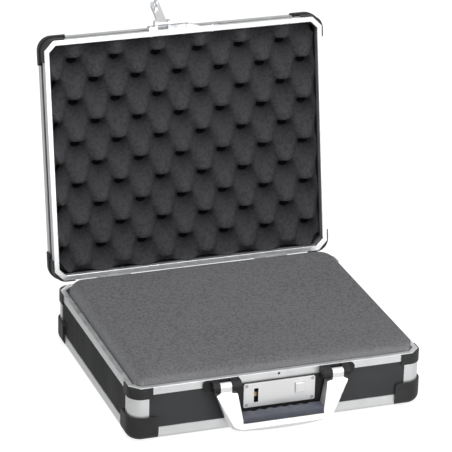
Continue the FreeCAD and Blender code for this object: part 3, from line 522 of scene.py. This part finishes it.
soft_block("base_foam_block", "foam_block", BLOCK_PROUD,
           ((26.0 * MM, 5.8 * MM), (6.0 * MM, 1.0 * MM), (20.0 * MM, 3.8 * MM), (8.0 * MM, 1.2 * MM)),
           (12.0 * MM, 22.0 * MM), 140, 120, 3.0)
soft_block("base_foam_underpad", "foam_base_pad", 0.0, ((1.2 * MM, 0.1 * MM),) * 4,
           (12.0 * MM, 12.0 * MM), 60, 50, 9.0)


# ---------------------------------------------------------------------------
# Soft insert of the handle, with finger scallops on its upper inner edge
# ---------------------------------------------------------------------------

def grip_insert():
    lo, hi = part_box("handle_grip")
    half = (hi.x - lo.x) / 2
    mid_y = (lo.y + hi.y) / 2
    rings, around = 150, 40
    pts = []
    for i in range(rings + 1):
        s = 2 * i / rings - 1
        x = s * half
        end = max(0.0, (abs(s) - GRIP_TIP) / (1 - GRIP_TIP))
        ribs = 0.5 - 0.5 * math.cos(2 * math.pi * x / RIB_PITCH)
        in_ribs = max(0.0, min(1.0, (RIBS_END - abs(s)) / RIBS_FADE))
        crown = GRIP_CROWN * (1 - s * s)
        for k in range(around):
            a = 2 * math.pi * k / around
            ca, sa = math.cos(a), math.sin(a)
            # Rounded box section, flat against the metal below.
            cy = math.copysign(abs(ca) ** 0.55, ca)
            cz = math.copysign(abs(sa) ** (0.75 if sa > 0 else 0.28), sa)
            y = mid_y + cy * (hi.y - lo.y) / 2 * (1 - 0.06 * end)
            z = (lo.z + hi.z) / 2 + cz * (hi.z - lo.z) / 2 * (1 - 0.08 * end)
            if cz > 0:
                z += (crown - GRIP_CROWN) * cz
                behind = max(0.0, cy)
                z -= RIB_DEPTH * ribs * in_ribs * behind * cz
            pts.append(Vector((x, y, z)))
    fcs = []
    for i in range(rings):
        for k in range(around):
            a = i * around + k
            b = i * around + (k + 1) % around
            fcs.append((a, b, b + around, a + around))
    fcs.append(tuple(reversed(range(around))))
    fcs.append(tuple(range(rings * around, (rings + 1) * around)))
    grip = piece("handle_grip_insert", pts, [tuple(reversed(f)) for f in fcs], SLOTS["grip_soft"],
                 "handle")
    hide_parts("handle_grip")


grip_insert()


# ---------------------------------------------------------------------------
# Floor, light, camera
# ---------------------------------------------------------------------------

# Light grows from the first value, at the left rear, to the second, at the front right.
FLOOR_LIGHT = 0.05, 0.85
WORLD_LIGHT = 0.02, 0.78
FLOOR_SHEEN = 0.50, 0.72      # what satin metals see of the floor
WORLD_SHEEN = 0.34, 0.74      # and of the room
FLOOR_TOWARDS, FLOOR_AT = (0.55, -0.83, 0.0), (-0.45, 0.55)
WORLD_TOWARDS, WORLD_AT = (0.48, -0.52, 0.70), (-0.55, 0.75)
FLOOR_GLOW, FLOOR_SHADOW = 0.86, 0.30
FLOOR_HALF = 14.0
FLOOR_DROP = 0.2 * MM         # the floor lies this far under the case
WHITE = (1.0, 1.0, 1.0, 1.0)


def direction_ramp(n, vector, towards, low, high, at):
    """Grey that grows from low to high as vector turns towards a direction."""
    dot = n.nodes.new("ShaderNodeVectorMath")
    dot.operation = "DOT_PRODUCT"
    dot.inputs[1].default_value = towards
    n.links.new(vector, dot.inputs[0])
    ramp = n.nodes.new("ShaderNodeMapRange")
    ramp.interpolation_type = "SMOOTHSTEP"
    ramp.inputs["From Min"].default_value, ramp.inputs["From Max"].default_value = at
    ramp.inputs["To Min"].default_value = low
    ramp.inputs["To Max"].default_value = high
    n.links.new(dot.outputs["Value"], ramp.inputs["Value"])
    return ramp.outputs["Result"]


def studio_floor():
    """Pale floor, lit evenly by itself; its bounce on the case is stronger from the front right."""
    n = Nodes("studio_floor")
    grain = n.noise(3.0, 2.0, 0.5)
    shade = direction_ramp(n.tree, n.coords, FLOOR_TOWARDS, *FLOOR_LIGHT, FLOOR_AT)
    tone = n.mix(n.span(grain, 0.0, 0.04), shade, (0.7, 0.7, 0.7))
    mat = n.finish(tone, None, None, Roughness=0.9, Specular_IOR_Level=0.1)
    glow = n.add("ShaderNodeEmission")
    glow.inputs["Color"].default_value = WHITE
    glow.inputs["Strength"].default_value = FLOOR_GLOW
    paper = n.add("ShaderNodeBsdfDiffuse")
    paper.inputs["Color"].default_value = (FLOOR_SHADOW,) * 3 + (1.0,)
    lit = n.add("ShaderNodeAddShader")
    n.link(glow.outputs[0], lit.inputs[0])
    n.link(paper.outputs[0], lit.inputs[1])
    rays = n.add("ShaderNodeLightPath")
    sheen = n.add("ShaderNodeEmission")
    n.link(direction_ramp(n.tree, n.coords, FLOOR_TOWARDS, *FLOOR_SHEEN, FLOOR_AT),
           sheen.inputs["Strength"])
    reflected = n.add("ShaderNodeMixShader")
    n.link(rays.outputs["Is Glossy Ray"], reflected.inputs[0])
    n.link(n.shader.outputs[0], reflected.inputs[1])
    n.link(sheen.outputs[0], reflected.inputs[2])
    pick = n.add("ShaderNodeMixShader")
    n.link(rays.outputs["Is Camera Ray"], pick.inputs[0])
    n.link(reflected.outputs[0], pick.inputs[1])
    n.link(lit.outputs[0], pick.inputs[2])
    n.link(pick.outputs[0], n.tree.nodes["Material Output"].inputs["Surface"])
    half = FLOOR_HALF
    mesh = bpy.data.meshes.new("studio_floor")
    mesh.from_pydata([(-half, -half, 0), (half, -half, 0), (half, half, 0), (-half, half, 0)],
                     [], [(0, 1, 2, 3)])
    mesh.materials.append(mat)
    obj = bpy.data.objects.new("studio_floor", mesh)
    bpy.context.scene.collection.objects.link(obj)
    obj.location.z = -FLOOR_DROP


def studio_world():
    """White to look at; as light it comes mostly from above and the front right."""
    world = bpy.data.worlds.new("studio")
    world.use_nodes = True
    tree = world.node_tree
    coord = tree.nodes.new("ShaderNodeTexCoord")
    outward = coord.outputs["Generated"]
    shade = direction_ramp(tree, outward, WORLD_TOWARDS, *WORLD_LIGHT, WORLD_AT)
    shine = direction_ramp(tree, outward, WORLD_TOWARDS, *WORLD_SHEEN, WORLD_AT)
    room = tree.nodes["Background"]
    tree.links.new(shade, room.inputs["Strength"])
    room.inputs["Color"].default_value = WHITE
    glossy = tree.nodes.new("ShaderNodeBackground")
    tree.links.new(shine, glossy.inputs["Strength"])
    glossy.inputs["Color"].default_value = WHITE
    reflected = tree.nodes.new("ShaderNodeMixShader")
    backdrop = tree.nodes.new("ShaderNodeBackground")
    rays = tree.nodes.new("ShaderNodeLightPath")
    pick = tree.nodes.new("ShaderNodeMixShader")
    tree.links.new(rays.outputs["Is Camera Ray"], pick.inputs[0])
    tree.links.new(rays.outputs["Is Glossy Ray"], reflected.inputs[0])
    tree.links.new(room.outputs[0], reflected.inputs[1])
    tree.links.new(glossy.outputs[0], reflected.inputs[2])
    tree.links.new(reflected.outputs[0], pick.inputs[1])
    tree.links.new(backdrop.outputs[0], pick.inputs[2])
    tree.links.new(pick.outputs[0], tree.nodes["World Output"].inputs["Surface"])
    backdrop.inputs["Color"].default_value = WHITE
    bpy.context.scene.world = world


def softbox(name, azimuth, elevation, distance, size, power, aim=Vector((0, 0.05, 0.15))):
    a, e = math.radians(azimuth), math.radians(elevation)
    light = bpy.data.lights.new(name, "AREA")
    light.shape = "RECTANGLE"
    light.size, light.size_y = size
    light.energy = power
    obj = bpy.data.objects.new(name, light)
    bpy.context.scene.collection.objects.link(obj)
    away = Vector((math.sin(a) * math.cos(e), -math.cos(a) * math.cos(e), math.sin(e)))
    obj.location = aim + away * distance
    obj.rotation_euler = away.to_track_quat("Z", "Y").to_euler()
    obj.visible_camera = False


studio_floor()
studio_world()
scene = bpy.context.scene
softbox("top_softbox", -40.0, 74.0, 1.7, (1.1, 1.1), 19.0)
softbox("front_softbox", 24.0, 30.0, 3.0, (1.8, 1.2), 14.0)
softbox("low_softbox", 12.0, 5.0, 0.9, (0.9, 0.3), 2.2, Vector((0, -0.14, 0.03)))
scene.view_settings.view_transform = "Standard"
scene.view_settings.look = "None"

CAMERA_DISTANCE = 3.2352
camera = bpy.data.cameras.new("camera")
camera.sensor_width = 36.0
camera.lens = 236.615575
camera.clip_start, camera.clip_end = 0.1, 60.0
cam = bpy.data.objects.new("camera", camera)
scene.collection.objects.link(cam)
azimuth, elevation, roll = math.radians(-19.84), math.radians(23.18), math.radians(1.43)
target = Vector((-0.01436, 0.0, 0.17454))
back = Vector((math.sin(azimuth) * math.cos(elevation), -math.cos(azimuth) * math.cos(elevation),
               math.sin(elevation)))
level = Vector((math.cos(azimuth), math.sin(azimuth), 0.0))
upright = back.cross(level)
right = level * math.cos(roll) + upright * math.sin(roll)
up = upright * math.cos(roll) - level * math.sin(roll)
cam.matrix_world = Matrix((
    (right.x, up.x, back.x, 0), (right.y, up.y, back.y, 0), (right.z, up.z, back.z, 0),
    (0, 0, 0, 1)))
cam.location = target + back * CAMERA_DISTANCE
scene.camera = cam
